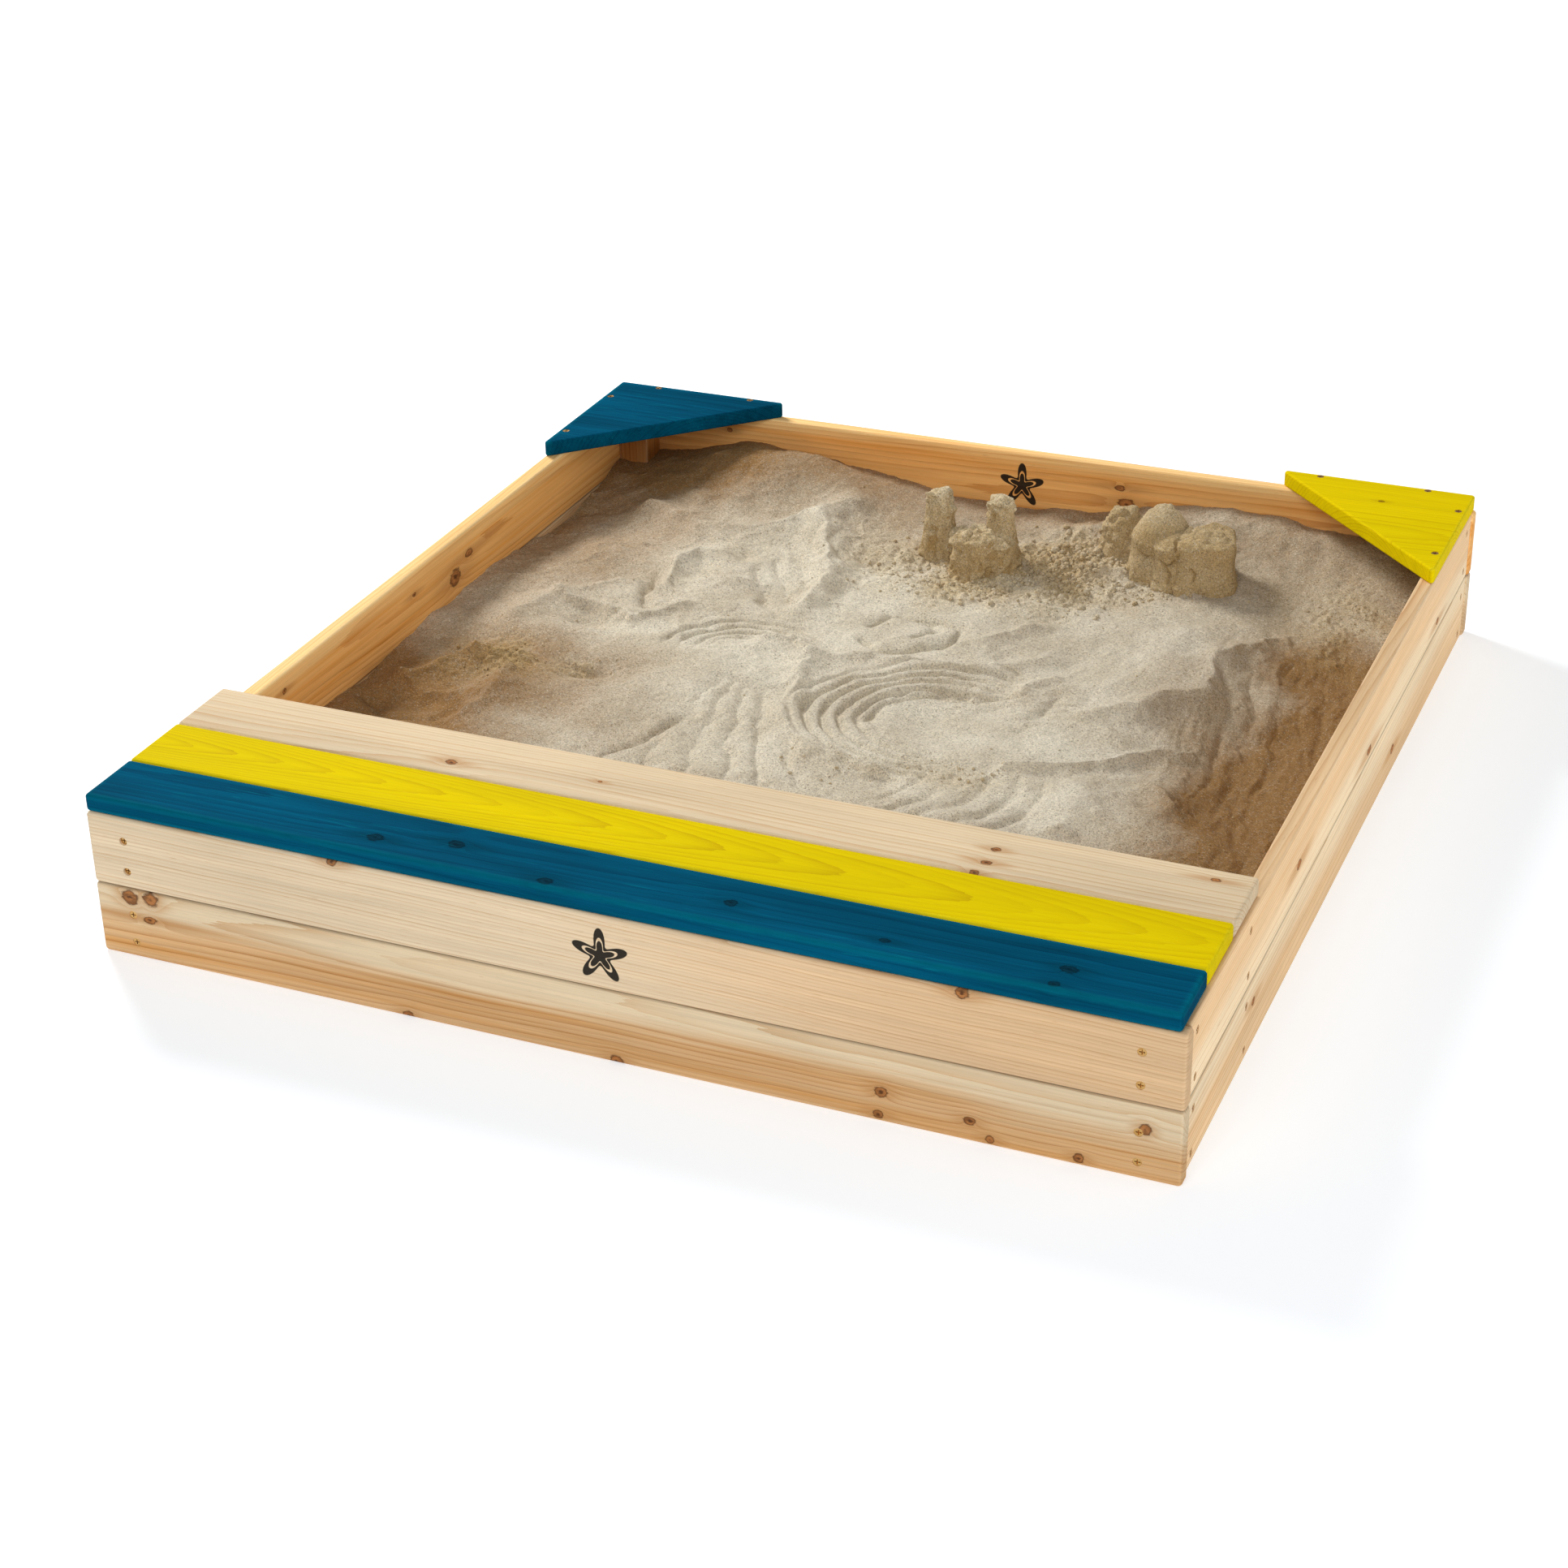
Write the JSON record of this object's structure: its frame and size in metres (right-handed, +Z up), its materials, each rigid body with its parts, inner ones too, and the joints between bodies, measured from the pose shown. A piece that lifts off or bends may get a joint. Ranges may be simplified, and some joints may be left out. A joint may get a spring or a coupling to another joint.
{
  "type": "sandbox with cover",
  "caption": "Low wooden sandpit with double-course board walls, corner seats, sand, and a slatted bench that is the hinged lid of a toy box.",
  "frame": {"origin": "on the ground, under the centre of the box", "axes": "+Z up; the bench is at the front, towards -Y; +X to the right of someone facing the bench from the front"},
  "size_m": [1.18, 1.29, 0.1875],
  "materials": {
    "natural_wood": "matte",
    "blue_stained_wood": "satin",
    "yellow_stained_wood": "satin",
    "zinc_plated_steel": "satin",
    "yellow_passivated_steel": "satin",
    "woven_sheet": "matte",
    "sand": "matte"
  },
  "bodies": {
    "box": {"front_board_upper": "natural_wood", "back_board_upper": "natural_wood", "left_board_upper": "natural_wood", "right_board_upper": "natural_wood", "corner_post_front_left": "natural_wood", "corner_post_front_right": "natural_wood", "partition_post_left": "natural_wood", "partition_post_right": "natural_wood", "corner_post_back_left": "natural_wood", "corner_post_back_right": "natural_wood", "partition_board_lower": "natural_wood", "partition_board_upper": "natural_wood", "front_board_lower": "natural_wood", "back_board_lower": "natural_wood", "left_board_lower": "natural_wood", "right_board_lower": "natural_wood", "corner_seat_left": "blue_stained_wood", "corner_seat_right": "yellow_stained_wood", "hinge_left_fixed_leaf": "zinc_plated_steel", "hinge_left_pin": "zinc_plated_steel", "hinge_right_fixed_leaf": "zinc_plated_steel", "hinge_right_pin": "zinc_plated_steel", "front_wall_screws": "yellow_passivated_steel", "back_wall_screws": "yellow_passivated_steel", "left_wall_screws": "yellow_passivated_steel", "right_wall_screws": "yellow_passivated_steel", "partition_screws": "yellow_passivated_steel", "corner_seat_screws": "yellow_passivated_steel", "hinge_fixed_screws": "zinc_plated_steel", "ground_sheet": "woven_sheet", "sand_bed": "sand", "sand_castle": "sand", "sand_mound": "sand"},
    "lid": {"lid_slat_front": "blue_stained_wood", "lid_slat_middle": "yellow_stained_wood", "lid_slat_rear": "natural_wood", "lid_batten_left": "natural_wood", "lid_batten_centre": "natural_wood", "lid_batten_right": "natural_wood", "lid_batten_screws": "yellow_passivated_steel", "hinge_left_moving_leaf": "zinc_plated_steel", "hinge_right_moving_leaf": "zinc_plated_steel", "hinge_moving_screws": "zinc_plated_steel"}
  },
  "joints": [
    {"name": "lid_hinge", "type": "hinge", "parent": "box", "child": "lid", "pos_m": [0, -0.3747, 0.16725], "axis": [-1, 0, 0], "range_deg": [0, 99]}
  ]
}
